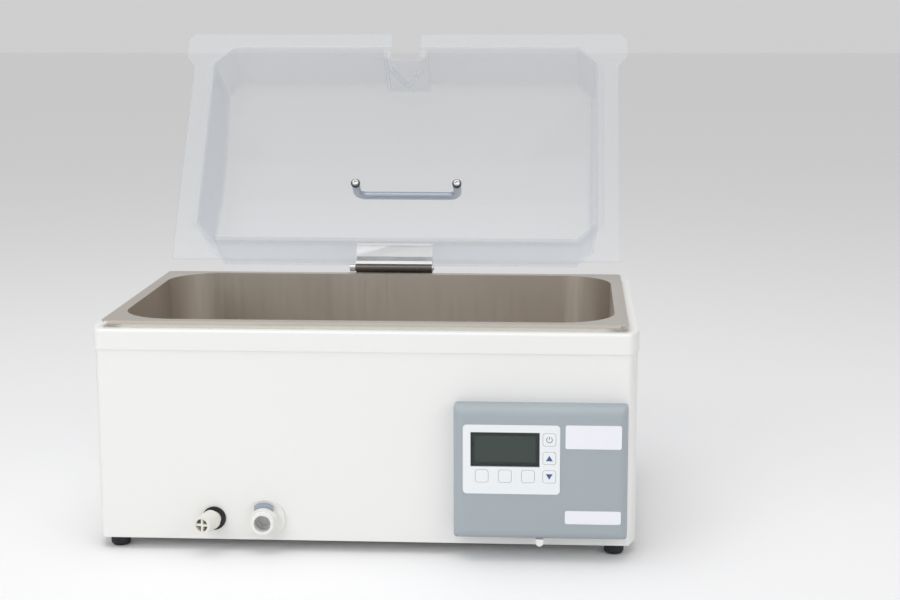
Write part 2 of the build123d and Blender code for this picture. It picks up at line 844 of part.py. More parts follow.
with BuildPart() as park_grommet:
    with BuildSketch(park_plane):
        with Locations((park_x, drain_level)):
            Circle(grommet_diameter / 2)
    extrude(amount=grommet_lip)
    fillet(park_grommet.faces().sort_by(Axis.Y)[0].edges(), radius=grommet_edge)
    with BuildSketch(park_plane):
        with Locations((park_x, drain_level)):
            Circle(grommet_waist / 2)
    extrude(amount=-sheet)
    with BuildSketch(front_plane(inner_front)):
        with Locations((park_x, drain_level)):
            Circle(grommet_diameter / 2)
    extrude(amount=-grommet_lip)
    with BuildSketch(nozzle_plane.offset(-4 * grommet_lip)):
        Circle(grommet_bore / 2)
    extrude(amount=8 * grommet_lip, mode=Mode.SUBTRACT)
park_grommet.part.label = "park_grommet"
export_step(park_grommet.part, "parts/park_grommet.step")

# Drain nozzle: spigot, barrel and a spout with a cross web
with BuildPart() as drain_nozzle:
    with BuildSketch(nozzle_plane.offset(nozzle_start - spigot_length)):
        Circle(spigot_diameter / 2)
    extrude(amount=spigot_length)
    with BuildSketch(nozzle_plane.offset(nozzle_start)):
        Circle(nozzle_diameter / 2)
    with BuildSketch(nozzle_plane.offset(nozzle_start + nozzle_length)):
        Circle(nozzle_face / 2)
    loft()
    with BuildSketch(nozzle_plane.offset(nozzle_start + nozzle_length)):
        Circle(nozzle_bore / 2)
    extrude(amount=-(nozzle_length + spigot_length), mode=Mode.SUBTRACT)
    with BuildSketch(nozzle_plane.offset(nozzle_start + nozzle_length - nozzle_web_recess)):
        Circle(nozzle_bore / 2 + nozzle_web / 4)
        with GridLocations(nozzle_bore, nozzle_bore, 2, 2):
            Rectangle(nozzle_bore - nozzle_web, nozzle_bore - nozzle_web, mode=Mode.SUBTRACT)
    extrude(amount=-nozzle_web_depth)
drain_nozzle.part.label = "drain_nozzle"
export_step(drain_nozzle.part, "parts/drain_nozzle.step")

# Control box: a moulded shell, open at the back, with a pocket for the keypad
keys = {"key_power": (key_column, key_row + 2 * key_pitch)}
keys["key_up"] = (key_column, key_row + key_pitch)
keys["key_down"] = (key_column, key_row)
for number in range(3):
    keys[f"key_soft_{number + 1}"] = (soft_key_x + number * soft_key_pitch, key_row)
key_places = [(x, case_bottom + z) for x, z in keys.values()]

box_plane = front_plane(box_face)
with BuildPart() as box_hollow:
    with BuildSketch(front_plane(box_face + box_front_wall)):
        with Locations((box_x, box_z)):
            Rectangle(box_width - 2 * box_wall, box_height - 2 * box_wall)
    extrude(amount=-(box_reach - box_front_wall))
    top_front = box_hollow.edges().filter_by(Axis.X).group_by(Axis.Y)[0].sort_by(Axis.Z)[-1]
    fillet(top_front, radius=box_top_radius - box_wall)

with BuildPart() as control_box:
    with BuildSketch(front_plane(case_front)):
        with Locations((box_x, box_z)):
            Rectangle(box_width, box_height)
    extrude(amount=box_reach)
    fillet(control_box.edges().filter_by(Axis.Y), radius=box_side_radius)
    front_edges = control_box.faces().sort_by(Axis.Y)[0].edges()
    fillet(front_edges.filter_by(Axis.X).sort_by(Axis.Z)[-1], radius=box_top_radius)
    add(box_hollow.part, mode=Mode.SUBTRACT)
    with BuildSketch(front_plane(case_front)):
        with Locations(*box_posts):
            Circle(post_diameter / 2)
    extrude(amount=box_reach - box_front_wall)
    with BuildSketch(front_plane(case_front)):
        with Locations(*box_posts):
            Circle(rear_screw / 2)
    extrude(amount=box_reach / 2, mode=Mode.SUBTRACT)
    with BuildSketch(box_plane):
        with Locations((keypad_x, keypad_level)):
            RectangleRounded(keypad_width + 2 * slip, keypad_height + 2 * slip, keypad_corner + slip)
    extrude(amount=-(keypad_thickness - keypad_proud), mode=Mode.SUBTRACT)
    with BuildSketch(box_plane):
        with Locations((window_x, window_level)):
            Rectangle(window_width + 2 * module_rim + 2 * slip, window_height + 2 * module_rim + 2 * slip)
        with Locations(*key_places):
            Rectangle(key_flange + 2 * running_gap, key_flange + 2 * running_gap)
    extrude(amount=-box_front_wall, mode=Mode.SUBTRACT)
control_box.part.label = "control_box"
export_step(control_box.part, "parts/control_box.step")

# Keypad frame with its window and key openings
with BuildPart() as keypad_frame:
    with BuildSketch(front_plane(pocket_floor)):
        with Locations((keypad_x, keypad_level)):
            RectangleRounded(keypad_width, keypad_height, keypad_corner)
        with Locations((window_x, window_level)):
            Rectangle(window_width + 2 * slip, window_height + 2 * slip, mode=Mode.SUBTRACT)
        with Locations(*key_places):
            opening = key_size + 2 * running_gap
            RectangleRounded(opening, opening, key_corner + running_gap, mode=Mode.SUBTRACT)
    extrude(amount=keypad_thickness)
keypad_frame.part.label = "keypad_frame"
export_step(keypad_frame.part, "parts/keypad_frame.step")

# Display window and the display behind it
window_front = box_face - keypad_proud + window_recess
with BuildPart() as display_window:
    with BuildSketch(front_plane(window_front + window_thickness)):
        with Locations((window_x, window_level)):
            Rectangle(window_width, window_height)
    extrude(amount=window_thickness)
display_window.part.label = "display_window"
export_step(display_window.part, "parts/display_window.step")

with BuildPart() as display_module:
    with BuildSketch(front_plane(board_front)):
        with Locations((window_x, window_level)):
            Rectangle(window_width + 2 * module_rim, window_height + 2 * module_rim)
    extrude(amount=board_front - pocket_floor)
display_module.part.label = "display_module"
export_step(display_module.part, "parts/display_module.step")

# Keys: cap, flange behind the frame and stem down to its switch
cap_front = box_face - keypad_proud - key_proud
flange_front = pocket_floor + running_gap
flange_back = flange_front + key_flange_thickness
switch_front = board_front - switch_height
stem_end = switch_front - key_travel - slip
for name, (x, z) in keys.items():
    with BuildPart() as key:
        with BuildSketch(front_plane(flange_front)):
            with Locations((x, case_bottom + z)):
                RectangleRounded(key_size, key_size, key_corner)
        extrude(amount=flange_front - cap_front)
        fillet(key.faces().sort_by(Axis.Y)[0].edges(), radius=key_proud)
        with BuildSketch(front_plane(flange_back)):
            with Locations((x, case_bottom + z)):
                Rectangle(key_flange, key_flange)
        extrude(amount=key_flange_thickness)
        with BuildSketch(front_plane(stem_end)):
            with Locations((x, case_bottom + z)):
                Circle(key_stem / 2)
        extrude(amount=stem_end - flange_back)
    key.part.label = name
    export_step(key.part, f"parts/{name}.step")

# Control board with its switches, power parts and mounting edge on the posts
board_z = box_z - board_drop
board_parts = [(relay_size, relay_at), (triac_size, triac_at), (plug_strip_size, plug_strip_at)]
with BuildPart() as control_board:
    with BuildSketch(front_plane(board_front + board_thickness)):
        with Locations((box_x, board_z)):
            Rectangle(board_width, board_height)
        with Locations(*box_posts):
            Circle(post_diameter / 2 + slip, mode=Mode.SUBTRACT)
    extrude(amount=board_thickness)
    with BuildSketch(front_plane(board_front)):
        with Locations(*key_places):
            Rectangle(switch_size, switch_size)
    extrude(amount=switch_height)
    with BuildSketch(front_plane(board_front + board_thickness)):
        for size, place in board_parts:
            with Locations((box_x + place[0], box_z + place[1])):
                Rectangle(*size)
    extrude(amount=-board_part_height)
control_board.part.label = "control_board"
export_step(control_board.part, "parts/control_board.step")

# Blank name plates on the face of the box
plates = {
    "name_plate_upper": (upper_plate_z, upper_plate_height),
    "name_plate_lower": (lower_plate_z, lower_plate_height),
}
for name, (z, height) in plates.items():
    with BuildPart() as plate:
        with BuildSketch(box_plane):
            with Locations((plate_x, case_bottom + z)):
                RectangleRounded(plate_width, height, plate_corner)
        extrude(amount=plate_thickness)
    plate.part.label = name
    export_step(plate.part, f"parts/{name}.step")

# Catch under the box
catch_top = case_bottom + box_bottom
with BuildPart() as box_catch:
    with BuildSketch(front_plane(box_face + catch_setback + catch_depth)):
        with Locations((catch_x, catch_top - catch_drop + catch_width / 2)):
            Circle(catch_width / 2)
            Rectangle(catch_width, catch_drop, align=(Align.CENTER, Align.MIN))
        with Locations((catch_x, catch_top)):
            Rectangle(2 * catch_width, 2 * catch_width, align=(Align.CENTER, Align.MIN), mode=Mode.SUBTRACT)
    extrude(amount=catch_depth)
box_catch.part.label = "box_catch"
export_step(box_catch.part, "parts/box_catch.step")

# Screws through the wrap into the posts of the box
with BuildPart() as box_screws:
    with BuildSketch(front_plane(inner_front)):
        with Locations(*box_posts):
            Circle(rear_screw_head / 2)
    extrude(amount=-rear_screw_height)
    with BuildSketch(front_plane(inner_front)):
        with Locations(*box_posts):
            Circle(rear_screw / 2)
    extrude(amount=sheet + box_reach / 2 - box_screw_clear)
box_screws.part.label = "box_screws"
export_step(box_screws.part, "parts/box_screws.step")

# Mains inlet: flange, body, recess and three pins
inlet_at = (-inlet_x, case_bottom + inlet_z)
pin_root = case_back + inlet_flange_thickness - inlet_recess_depth
with BuildPart() as mains_inlet:
    with BuildSketch(rear_plane(case_back)):
        with Locations(inlet_at):
            RectangleRounded(inlet_flange[0], inlet_flange[1], inlet_corner)
            with GridLocations(inlet_pitch, 0, 2, 1):
                Circle(rear_screw / 2 + slip, mode=Mode.SUBTRACT)
    extrude(amount=inlet_flange_thickness)
    with BuildSketch(rear_plane(case_back)):
        with Locations(inlet_at):
            Rectangle(*inlet_body)
    extrude(amount=-inlet_depth)
    with BuildSketch(rear_plane(case_back + inlet_flange_thickness)):
        with Locations(inlet_at):
            Rectangle(*inlet_recess)
    extrude(amount=-inlet_recess_depth, mode=Mode.SUBTRACT)
    with BuildSketch(rear_plane(pin_root)):
        with Locations(inlet_at):
            with Locations(*inlet_pins):
                Rectangle(*inlet_pin)
    extrude(amount=inlet_recess_depth - inlet_pin_setback)
mains_inlet.part.label = "mains_inlet"
export_step(mains_inlet.part, "parts/mains_inlet.step")

with BuildPart() as inlet_screws:
    with BuildSketch(rear_plane(case_back + inlet_flange_thickness)):
        with Locations(inlet_at):
            with GridLocations(inlet_pitch, 0, 2, 1):
                Circle(rear_screw_head / 2)
    extrude(amount=rear_screw_height)
    with BuildSketch(rear_plane(case_back + inlet_flange_thickness)):
        with Locations(inlet_at):
            with GridLocations(inlet_pitch, 0, 2, 1):
                Circle(rear_screw / 2)
    extrude(amount=-rear_screw_length)
inlet_screws.part.label = "inlet_screws"
export_step(inlet_screws.part, "parts/inlet_screws.step")


# The lid is built on lid_plane, whose axes are those of the shut lid seen from the hinge axis
def lid_level(height):
    """The plane at a height above the underside of the lid's flange."""
    return lid_plane.offset(seat_level + height)


def octagon(width, depth, corner):
    """A rectangle with its four corners cut, centred on the lid."""
    with BuildSketch() as shape:
        with Locations((0, lid_middle)):
            Rectangle(width, depth)
        chamfer(shape.vertices(), length=corner)
    return shape.sketch


outer_line = (lid_width - 2 * dome_side_margin, lid_depth - 2 * dome_end_margin, dome_corner)
inner_line = (outer_line[0] - 2 * drip_side, outer_line[1] - 2 * drip_end, dome_corner - drip_end)
dome_taper = degrees(atan2(dome_draft, dome_height + drip_drop))


def grown(line, amount):
    """An octagon's sizes, with its walls moved out by amount."""
    return (line[0] + 2 * amount, line[1] + 2 * amount, line[2] + corner_share * amount)


def gable(grow):
    """End profile of the dome's roof, moved out by grow, as a prism along X."""
    half = inner_line[1] / 2
    foot = seat_level - 2 * drip_drop
    ridge = seat_level + dome_height + grow
    slope = (dome_height - dome_eaves) / (half - dome_ridge / 2)
    reach = half + roof_room
    low = ridge - slope * (reach - dome_ridge / 2)
    points = [
        (lid_middle - reach, foot),
        (lid_middle - reach, low),
        (lid_middle - dome_ridge / 2, ridge),
        (lid_middle + dome_ridge / 2, ridge),
        (lid_middle + reach, low),
        (lid_middle + reach, foot),
    ]
    side = Plane(origin=lid_plane.origin, x_dir=lid_plane.y_dir, z_dir=(1, 0, 0))
    with BuildPart() as prism:
        with BuildSketch(side):
            with BuildLine():
                Polyline(*points, close=True)
            make_face()
        extrude(amount=lid_width, both=True)
    return prism.part


def dome_block(grow):
    """The dome as a closed block, moved out by grow on its walls and roof."""
    with BuildPart() as block:
        with BuildSketch(lid_level(-drip_drop)):
            add(octagon(*grown(inner_line, grow)))
        extrude(amount=dome_height + drip_drop + roof_room, taper=dome_taper)
        add(gable(grow), mode=Mode.INTERSECT)
        upward = Vector(*lid_normal)
        roof = block.faces().filter_by(lambda face: face.normal_at().dot(upward) > cos(radians(30)))
        fillet(roof.edges(), radius=dome_radius + grow)
    return block.part


front_wall = lid_middle - inner_line[1] / 2 + dome_draft * (dome_eaves / dome_height)


def finger_recess(grow):
    """Channel and peaked pocket pressed into the front wall, moved out by grow."""
    floor = front_wall + channel_depth + grow
    channel_foot = lid_sheet if grow == 0 else -2 * drip_drop
    pocket_back = front_wall + pocket_depth + grow
    start = lid_middle - lid_depth / 2 - lid_sheet
    peak = [
        (-pocket_width / 2 - grow, -2 * drip_drop),
        (-pocket_width / 2 - grow, pocket_shoulder + grow / 2),
        (0, pocket_peak + grow),
        (pocket_width / 2 + grow, pocket_shoulder + grow / 2),
        (pocket_width / 2 + grow, -2 * drip_drop),
    ]
    corner = lid_plane.from_local_coords((0, start, seat_level))
    upright = Plane(origin=corner, x_dir=(1, 0, 0), z_dir=lid_plane.y_dir)
    with BuildPart() as recess:
        with BuildSketch(upright):
            with Locations((0, -channel_foot)):
                Rectangle(channel_width + 2 * grow, 2 * dome_height, align=(Align.CENTER, Align.MAX))
        extrude(amount=floor - start)
        with BuildSketch(upright):
            with BuildLine():
                Polyline(*[(x, -z) for x, z in peak], close=True)
            make_face()
        extrude(amount=pocket_back - start)
    return recess.part


flange_front = lid_middle - lid_depth / 2
half_lid = lid_width / 2
ear = half_lid + ear_reach
lid_outline = [
    (-half_lid, flange_front + lid_depth),
    (-half_lid, flange_front + ear_length + ear_slope),
    (-ear, flange_front + ear_length),
    (-ear, flange_front + ear_corner),
    (-ear + ear_corner, flange_front),
    (ear - ear_corner, flange_front),
    (ear, flange_front + ear_corner),
    (ear, flange_front + ear_length),
    (half_lid, flange_front + ear_length + ear_slope),
    (half_lid, flange_front + lid_depth),
]
panel_level = dome_height + lid_sheet
handle_local_y = lid_middle + handle_back
handle_feet = [(-handle_pitch / 2, handle_local_y), (handle_pitch / 2, handle_local_y)]

with BuildPart() as lid_hollow:
    add(dome_block(0))
    add(finger_recess(lid_sheet), mode=Mode.SUBTRACT)

with BuildPart() as lid:
    with BuildSketch(lid_level(0)):
        with BuildLine():
            Polyline(*lid_outline, close=True)
        make_face()
    extrude(amount=lid_sheet)
    with BuildSketch(lid_level(0)):
        add(octagon(*outer_line))
    with BuildSketch(lid_level(-drip_drop)):
        add(octagon(*grown(inner_line, drip_lip)))
    loft(ruled=True)
    with BuildSketch(lid_level(lid_sheet)):
        add(octagon(*grown(outer_line, -lid_sheet / 2)))
    with BuildSketch(lid_level(lid_sheet - drip_drop)):
        add(octagon(*grown(inner_line, 2 * drip_lip)))
    loft(ruled=True, mode=Mode.SUBTRACT)
    add(dome_block(lid_sheet))
    add(finger_recess(0), mode=Mode.SUBTRACT)
    add(lid_hollow.part, mode=Mode.SUBTRACT)
    with BuildSketch(lid_level(panel_level)):
        with Locations(*handle_feet):
            Circle(handle_screw / 2 + slip)
    extrude(amount=-2 * lid_sheet, mode=Mode.SUBTRACT)
lid.part.label = "lid"
export_step(lid.part, "parts/lid.step")

# Handle: a bent bar with a tapped foot at each end
handle_plane = Plane(
    origin=lid_plane.from_local_coords((0, handle_local_y, seat_level + panel_level)),
    x_dir=(1, 0, 0),
    z_dir=lid_forward,
)
with BuildPart() as lid_handle:
    with BuildLine(handle_plane) as grip:
        FilletPolyline(
            (-handle_pitch / 2, 0),
            (-handle_pitch / 2, handle_reach),
            (handle_pitch / 2, handle_reach),
            (handle_pitch / 2, 0),
            radius=handle_bend,
        )
    with BuildSketch(lid_level(panel_level)):
        with Locations(handle_feet[0]):
            Circle(handle_diameter / 2)
    sweep(path=grip.line)
    with BuildSketch(lid_level(panel_level)):
        with Locations(*handle_feet):
            Circle(handle_screw / 2 + slip)
    extrude(amount=handle_screw_length, mode=Mode.SUBTRACT)
lid_handle.part.label = "lid_handle"
export_step(lid_handle.part, "parts/lid_handle.step")

# Handle washers and screws, on the inside of the lid
with BuildPart() as handle_washers:
    with BuildSketch(lid_level(dome_height)):
        with Locations(*handle_feet):
            Circle(washer_diameter / 2)
            Circle(handle_screw / 2 + slip, mode=Mode.SUBTRACT)
    extrude(amount=-washer_thickness)
handle_washers.part.label = "handle_washers"
export_step(handle_washers.part, "parts/handle_washers.step")

with BuildPart() as handle_screws:
    with BuildSketch(lid_level(dome_height - washer_thickness)):
        with Locations(*handle_feet):
            Circle(handle_screw_head / 2)
    extrude(amount=-handle_screw / 2)
    with BuildSketch(lid_level(dome_height - washer_thickness)):
        with Locations(*handle_feet):
            Circle(handle_screw / 2)
    extrude(amount=washer_thickness + lid_sheet + handle_screw_length - handle_screw_clear)
handle_screws.part.label = "handle_screws"
export_step(handle_screws.part, "parts/handle_screws.step")

# Hinge pad: a moulded strip bonded on the lid's flange, which takes the leaf's screws
pad_back = flange_front + lid_depth + pad_overhang
pad_front = flange_front + lid_depth - pad_depth
leaf_screws_at = [(x, -leaf_screw_y) for x in (-leaf_screw_x, 0, leaf_screw_x)]
with BuildPart() as hinge_pad:
    with BuildSketch(lid_level(lid_sheet)):
        with Locations((0, (pad_back + pad_front) / 2)):
            RectangleRounded(hinge_width, pad_back - pad_front, pad_corner)
    extrude(amount=pad_thickness)
    with BuildSketch(lid_level(lid_sheet + pad_thickness)):
        with Locations(*leaf_screws_at):
            Circle(hinge_screw / 2 + slip)
    extrude(amount=-(pad_thickness - pad_floor), mode=Mode.SUBTRACT)
hinge_pad.part.label = "hinge_pad"
export_step(hinge_pad.part, "parts/hinge_pad.step")

# Hinge knuckles along the pin: even ones on the bracket, odd ones on the leaf
knuckle_length = hinge_width / knuckles
leaf_level = lid_sheet + pad_thickness
leaf_front = pad_front + leaf_setback
leaf_top = seat_level + leaf_level + hinge_sheet
pin_bore = pin_diameter / 2 + slip / 2


def knuckle_plane(number):
    """The cross-section plane at the left end of a knuckle."""
    return Plane.YZ.offset(-hinge_width / 2 + number * knuckle_length + slip)


with BuildPart() as hinge_leaf:
    with BuildSketch(lid_level(leaf_level)):
        with Locations((0, leaf_front)):
            Rectangle(
                hinge_width,
                -leaf_front - knuckle_radius - 2 * running_gap,
                align=(Align.CENTER, Align.MIN),
            )
        for number in range(1, knuckles, 2):
            with Locations((-hinge_width / 2 + (number + 0.5) * knuckle_length, leaf_front)):
                Rectangle(knuckle_length - 2 * slip, -leaf_front, align=(Align.CENTER, Align.MIN))
    extrude(amount=hinge_sheet)
    for number in range(1, knuckles, 2):
        with BuildSketch(knuckle_plane(number)):
            with Locations((hinge_y, hinge_z)):
                Circle(knuckle_radius)
        extrude(amount=knuckle_length - 2 * slip)
    with BuildSketch(Plane.YZ.offset(-hinge_width / 2)):
        with Locations((hinge_y, hinge_z)):
            Circle(pin_bore)
    extrude(amount=hinge_width, mode=Mode.SUBTRACT)
    with BuildSketch(lid_level(leaf_level)):
        with Locations(*leaf_screws_at):
            Circle(hinge_screw / 2 + slip)
    extrude(amount=hinge_sheet, mode=Mode.SUBTRACT)
hinge_leaf.part.label = "hinge_leaf"
export_step(hinge_leaf.part, "parts/hinge_leaf.step")

# Hinge bracket: a plate on the back of the cover, bent back at the top as the lid's stop
stop_face = leaf_top + running_gap


def stop_point(face, plate_y, run):
    """A point on the stop, run beyond the bend, on the face at that distance from the axis."""
    along = (plate_y - hinge_y - face * lid_normal[1]) / lid_forward[1] + run
    return (
        hinge_y + along * lid_forward[1] + face * lid_normal[1],
        hinge_z + along * lid_forward[2] + face * lid_normal[2],
    )


plate_back = cover_back + hinge_sheet
bracket_profile = [
    (cover_back, cover_bottom),
    stop_point(stop_face, cover_back, 0),
    stop_point(stop_face, cover_back, stop_length),
    stop_point(stop_face + hinge_sheet, cover_back, stop_length),
    stop_point(stop_face + hinge_sheet, plate_back, 0),
    (plate_back, cover_bottom),
]
with BuildPart() as hinge_bracket:
    with BuildSketch(Plane.YZ.offset(-hinge_width / 2)):
        with BuildLine():
            Polyline(*bracket_profile, close=True)
        make_face()
    extrude(amount=hinge_width)
    for number in range(0, knuckles, 2):
        with BuildSketch(knuckle_plane(number)):
            with Locations((hinge_y, hinge_z)):
                Circle(knuckle_radius)
            with Locations(((hinge_y + cover_back) / 2 + slip, hinge_z - knuckle_radius / 2)):
                Rectangle(cover_back - hinge_y + 2 * slip, hinge_sheet)
        extrude(amount=knuckle_length - 2 * slip)
    with BuildSketch(Plane.YZ.offset(-hinge_width / 2)):
        with Locations((hinge_y, hinge_z)):
            Circle(pin_bore)
    extrude(amount=hinge_width, mode=Mode.SUBTRACT)
    with BuildSketch(rear_plane(plate_back)):
        with Locations(*bracket_screws_at):
            Circle(hinge_screw / 2 + slip)
    extrude(amount=-hinge_sheet, mode=Mode.SUBTRACT)
hinge_bracket.part.label = "hinge_bracket"
export_step(hinge_bracket.part, "parts/hinge_bracket.step")

# Hinge pin with its head at the left and a ring at the right
with BuildPart() as hinge_pin:
    with BuildSketch(Plane.YZ.offset(-hinge_width / 2 - pin_head_length)):
        with Locations((hinge_y, hinge_z)):
            Circle(pin_head / 2)
    extrude(amount=pin_head_length - slip)
    with BuildSketch(Plane.YZ.offset(-hinge_width / 2 - slip)):
        with Locations((hinge_y, hinge_z)):
            Circle(pin_diameter / 2)
    extrude(amount=hinge_width + 2 * slip + 2 * pin_ring)
    with BuildSketch(Plane.YZ.offset(hinge_width / 2 + slip)):
        with Locations((hinge_y, hinge_z)):
            Circle(knuckle_radius + pin_ring_lip)
    extrude(amount=pin_ring)
hinge_pin.part.label = "hinge_pin"
export_step(hinge_pin.part, "parts/hinge_pin.step")

# Screws of the leaf and of the bracket, with the bracket's nuts
with BuildPart() as leaf_screws:
    with BuildSketch(lid_level(leaf_level + hinge_sheet)):
        with Locations(*leaf_screws_at):
            Circle(hinge_screw_head / 2)
    extrude(amount=hinge_screw_height)
    with BuildSketch(lid_level(leaf_level + hinge_sheet)):
        with Locations(*leaf_screws_at):
            Circle(hinge_screw / 2)
    extrude(amount=-(hinge_sheet + pad_thickness - pad_floor - slip))
leaf_screws.part.label = "leaf_screws"
export_step(leaf_screws.part, "parts/leaf_screws.step")

with BuildPart() as bracket_screws:
    with BuildSketch(rear_plane(plate_back)):
        with Locations(*bracket_screws_at):
            Circle(hinge_screw_head / 2)
    extrude(amount=hinge_screw_height)
    with BuildSketch(rear_plane(plate_back)):
        with Locations(*bracket_screws_at):
            Circle(hinge_screw / 2)
    extrude(amount=-(plate_back - panel_inside + hinge_nut_height + hinge_screw_end))
bracket_screws.part.label = "bracket_screws"
export_step(bracket_screws.part, "parts/bracket_screws.step")

with BuildPart() as bracket_nuts:
    with BuildSketch(rear_plane(panel_inside)):
        with Locations(*bracket_screws_at):
            RegularPolygon(hinge_screw_head / 2, 6, major_radius=False)
            Circle(hinge_screw / 2 + slip / 2, mode=Mode.SUBTRACT)
    extrude(amount=-hinge_nut_height)
bracket_nuts.part.label = "bracket_nuts"
export_step(bracket_nuts.part, "parts/bracket_nuts.step")
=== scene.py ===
import bpy
import bmesh
import json
import math
from mathutils import Matrix, Vector


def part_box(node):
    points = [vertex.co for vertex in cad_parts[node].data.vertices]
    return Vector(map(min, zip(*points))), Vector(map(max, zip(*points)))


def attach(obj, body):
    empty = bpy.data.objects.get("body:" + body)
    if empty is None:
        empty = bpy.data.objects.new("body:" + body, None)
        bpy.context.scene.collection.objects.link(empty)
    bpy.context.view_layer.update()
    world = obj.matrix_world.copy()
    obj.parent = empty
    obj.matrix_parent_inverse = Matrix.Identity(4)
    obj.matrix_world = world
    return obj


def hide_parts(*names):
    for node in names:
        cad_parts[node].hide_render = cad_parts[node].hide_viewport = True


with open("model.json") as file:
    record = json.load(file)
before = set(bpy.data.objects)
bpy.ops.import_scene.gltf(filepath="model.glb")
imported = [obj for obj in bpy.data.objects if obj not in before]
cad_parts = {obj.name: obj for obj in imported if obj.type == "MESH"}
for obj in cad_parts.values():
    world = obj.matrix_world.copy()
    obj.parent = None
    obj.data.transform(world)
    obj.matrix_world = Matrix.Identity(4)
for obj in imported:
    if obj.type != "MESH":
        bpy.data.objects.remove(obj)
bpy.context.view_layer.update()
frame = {"nodes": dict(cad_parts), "record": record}
nodes = frame["nodes"]
bodyOf = {n: body for body, names in frame["record"]["behaviour"]["bodies"].items() for n in names}
slotOf = {entry["node"]: entry["material_slot"] for entry in frame["record"]["subparts"]}
scene = bpy.context.scene
scene.view_settings.view_transform = "Standard"
print("frame loaded:", len(nodes), "nodes")


# Shader helpers
class Wire:
    # an output socket that takes part in Python sums
    def __init__(self, finish, socket):
        self.finish = finish
        self.socket = socket

    def maths(self, operation, first, second):
        return self.finish.add("ShaderNodeMath", {"operation": operation}, {0: first, 1: second})

    def __add__(self, other):
        return self.maths("ADD", self, other)

    def __mul__(self, other):
        return self.maths("MULTIPLY", self, other)

    def __pow__(self, other):
        return self.maths("POWER", self, other)

    __radd__ = __add__
    __rmul__ = __mul__


class Finish:
    # one material; add() makes any node from its type, settings and inputs
    def __init__(self, name):
        self.material = bpy.data.materials.new(name)
        self.material.use_nodes = True
        self.tree = self.material.node_tree
        self.tree.nodes.clear()

    def add(self, kind, settings=None, inputs=None, out=0):
        node = self.tree.nodes.new(kind)
        for key, value in (settings or {}).items():
            if key == "stops":
                ramp = node.color_ramp
                while len(ramp.elements) < len(value):
                    ramp.elements.new(0.5)
                for element, (place, shade) in zip(ramp.elements, value):
                    element.position = place
                    element.color = (*shade, 1)
            else:
                setattr(node, key, value)
        for key, value in (inputs or {}).items():
            if isinstance(value, Wire):
                self.tree.links.new(value.socket, node.inputs[key])
            else:
                node.inputs[key].default_value = value
        return Wire(self, node.outputs[out]) if node.outputs else None

    def place(self, scale=(1, 1, 1), turn=(0, 0, 0)):
        where = self.add("ShaderNodeTexCoord", out=3)
        return self.add("ShaderNodeMapping", None, {0: where, 2: turn, 3: scale})

    def noise(self, scale, detail=2.0, stretch=(1, 1, 1), turn=(0, 0, 0)):
        return self.add("ShaderNodeTexNoise", None, {
            "Vector": self.place(stretch, turn), "Scale": scale, "Detail": detail, "Roughness": 0.55})

    def blend(self, mask, first, second):
        tones = {0: mask, 6: (*first, 1), 7: (*second, 1)}
        return self.add("ShaderNodeMix", {"data_type": "RGBA"}, tones, out=2)

    def band(self, value, low, high):
        return self.add("ShaderNodeMapRange", None, {0: value, 3: low, 4: high})

    def bump(self, height, depth, strength=1.0):
        return self.add("ShaderNodeBump", None, {"Height": height, "Distance": depth, "Strength": strength})

    def surface(self, inputs):
        shader = self.add("ShaderNodeBsdfPrincipled", None, inputs)
        self.add("ShaderNodeOutputMaterial", None, {0: shader})
        return self.material


def colour(r, g, b):
    # screen values 0 to 255 to the shader's linear ones
    return tuple(v / 255 / 12.92 if v <= 10 else ((v / 255 + 0.055) / 1.055) ** 2.4 for v in (r, g, b))


def shaded(tone, share):
    return tuple(v * share for v in tone)


# Finishes of the bath's own materials
def paintedSteel(name, tone, gloss=0.38):
    f = Finish(name)
    peel = f.noise(620, 2)            # fine orange peel of powder coat
    drift = f.noise(3.2, 1)           # slow change of tone over a panel
    return f.surface({
        "Base Color": f.blend(f.band(drift, 0.0, 1.0), shaded(tone, 0.975), tone),
        "Roughness": f.band(peel, gloss - 0.05, gloss + 0.07),
        "Normal": f.bump(peel, 0.00006, 0.5),
        "Specular IOR Level": 0.45,
    })


def satinSteel(name, tone, rough, stretch, warm=None):
    f = Finish(name)
    grain = f.noise(240, 3, stretch)              # drawing and brushing lines
    paintedHighlightsAndHaze = f.noise(5.5, 2, (1, 1, 0.35))          # soft tall highlights painted into the colour; the same noise also varies the roughness
    return f.surface({
        # painted highlights: lighter where the tall noise is high, darker and warmer between
        "Base Color": f.blend(f.band(paintedHighlightsAndHaze, 0.1, 0.9), shaded(warm or tone, 0.90), tone),
        "Metallic": 1.0,
        "Roughness": f.band(grain + paintedHighlightsAndHaze * 0.6, rough - 0.04, rough + 0.10),
        "Normal": f.bump(grain, 0.00003, 0.6),
    })


def moulded(name, tone, rough=0.42, grainSize=1400, depth=0.00004, second=0.96):
    f = Finish(name)
    grain = f.noise(grainSize, 2)                 # spark-eroded mould texture
    drift = f.noise(9, 1)
    return f.surface({
        "Base Color": f.blend(drift, shaded(tone, second), tone),
        "Roughness": f.band(grain, rough - 0.05, rough + 0.08),
        "Normal": f.bump(grain, depth, 0.6),
    })


def rubbery(name, tone, rough=0.72):
    f = Finish(name)
    dust = f.noise(85, 4)
    skin = f.noise(900, 2)
    stops = [(0.52, (0, 0, 0)), (0.75, (1, 1, 1))]
    specks = f.add("ShaderNodeValToRGB", {"stops": stops}, {0: dust})
    return f.surface({
        "Base Color": f.blend(specks, tone, tuple(v + 0.02 for v in tone)),
        "Roughness": f.band(skin, rough - 0.08, rough + 0.10),
        "Normal": f.bump(skin, 0.00005, 0.7),
    })


def felted(name, tone):
    f = Finish(name)
    fibres = f.noise(420, 6, (1, 1, 3))
    return f.surface({
        "Base Color": f.blend(fibres, shaded(tone, 0.75), tone),
        "Roughness": 0.95,
        "Normal": f.bump(fibres, 0.0006, 0.8),
        "Sheen Weight": 0.3,
    })


